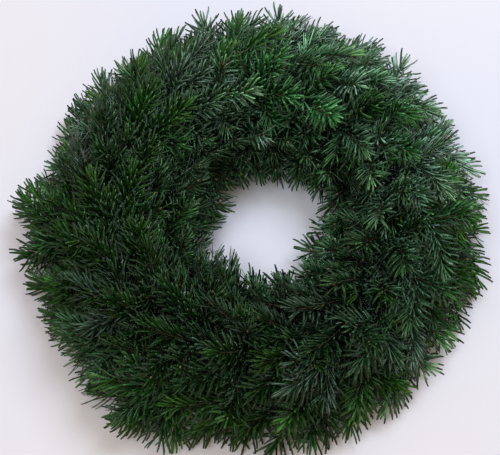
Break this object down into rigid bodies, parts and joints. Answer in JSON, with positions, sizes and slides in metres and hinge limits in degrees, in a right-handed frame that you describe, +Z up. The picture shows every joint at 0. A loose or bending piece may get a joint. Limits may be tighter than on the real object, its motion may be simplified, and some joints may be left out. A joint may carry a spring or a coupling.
{
  "type": "evergreen wreath",
  "caption": "Fresh fir wreath lying flat: bushy sprays of flat needles bound with wire onto a two-rail ring frame round an open centre.",
  "frame": {"origin": "centre of the ring, on the surface that the wreath lies on", "axes": "+Z up, out of the wreath's face; +Y towards the far side in the usual view; the sprays sweep clockwise seen from +Z"},
  "size_m": [0.6254, 0.6183, 0.1418],
  "materials": {
    "frame_wire": "dark green painted steel wire, satin",
    "binding_wire": "dark green lacquered florist wire, satin",
    "fir_needles": "fresh dark green fir needles on brown twigs, waxy satin"
  },
  "bodies": {
    "root": {"ring_frame": "frame_wire", "binding_wire": "binding_wire", "outer_spray_01": "fir_needles", "outer_spray_02": "fir_needles", "outer_spray_03": "fir_needles", "outer_spray_04": "fir_needles", "outer_spray_05": "fir_needles", "outer_spray_06": "fir_needles", "outer_spray_07": "fir_needles", "outer_spray_08": "fir_needles", "outer_spray_09": "fir_needles", "outer_spray_10": "fir_needles", "outer_spray_11": "fir_needles", "outer_spray_12": "fir_needles", "outer_spray_13": "fir_needles", "outer_spray_14": "fir_needles", "outer_spray_15": "fir_needles", "outer_spray_16": "fir_needles", "outer_spray_17": "fir_needles", "outer_spray_18": "fir_needles", "crown_spray_01": "fir_needles", "crown_spray_02": "fir_needles", "crown_spray_03": "fir_needles", "crown_spray_04": "fir_needles", "crown_spray_05": "fir_needles", "crown_spray_06": "fir_needles", "crown_spray_07": "fir_needles", "crown_spray_08": "fir_needles", "crown_spray_09": "fir_needles", "crown_spray_10": "fir_needles", "crown_spray_11": "fir_needles", "crown_spray_12": "fir_needles", "crown_spray_13": "fir_needles", "crown_spray_14": "fir_needles", "crown_spray_15": "fir_needles", "crown_spray_16": "fir_needles", "crown_spray_17": "fir_needles", "crown_spray_18": "fir_needles", "inner_spray_01": "fir_needles", "inner_spray_02": "fir_needles", "inner_spray_03": "fir_needles", "inner_spray_04": "fir_needles", "inner_spray_05": "fir_needles", "inner_spray_06": "fir_needles", "inner_spray_07": "fir_needles", "inner_spray_08": "fir_needles", "inner_spray_09": "fir_needles", "inner_spray_10": "fir_needles", "inner_spray_11": "fir_needles", "inner_spray_12": "fir_needles", "inner_spray_13": "fir_needles", "inner_spray_14": "fir_needles", "inner_spray_15": "fir_needles", "inner_spray_16": "fir_needles", "inner_spray_17": "fir_needles", "inner_spray_18": "fir_needles"}
  },
  "joints": []
}
